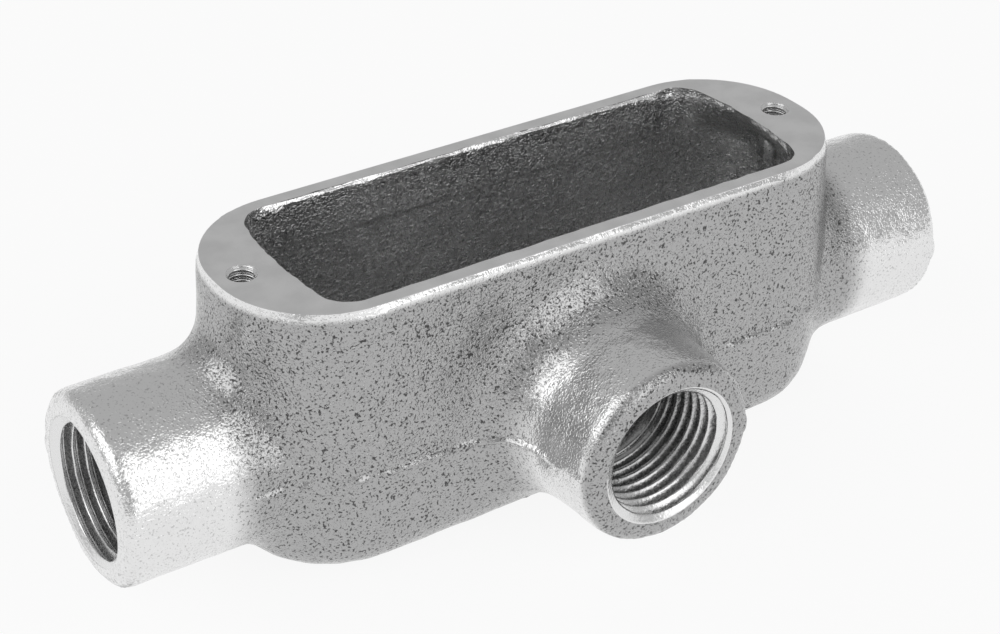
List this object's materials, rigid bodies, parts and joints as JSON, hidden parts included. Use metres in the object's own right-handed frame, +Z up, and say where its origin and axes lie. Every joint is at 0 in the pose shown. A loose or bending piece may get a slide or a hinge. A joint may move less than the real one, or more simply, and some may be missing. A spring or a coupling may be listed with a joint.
{
  "type": "conduit body",
  "caption": "T-pattern malleable-iron conduit body: a trough with an open cover face, a threaded hub at each end and a threaded branch hub on one side.",
  "frame": {"origin": "centre of the two cover-screw holes, on the ground cover face", "axes": "+X along the through run, +Y away from the branch hub, which points to -Y, +Z up out of the cover opening"},
  "size_m": [0.1396, 0.0533, 0.0438],
  "materials": {
    "zinc_plated_iron": "bright zinc plate over a rough cast skin, ground cover face"
  },
  "bodies": {
    "root": {"conduit_body": "zinc_plated_iron"}
  },
  "joints": []
}
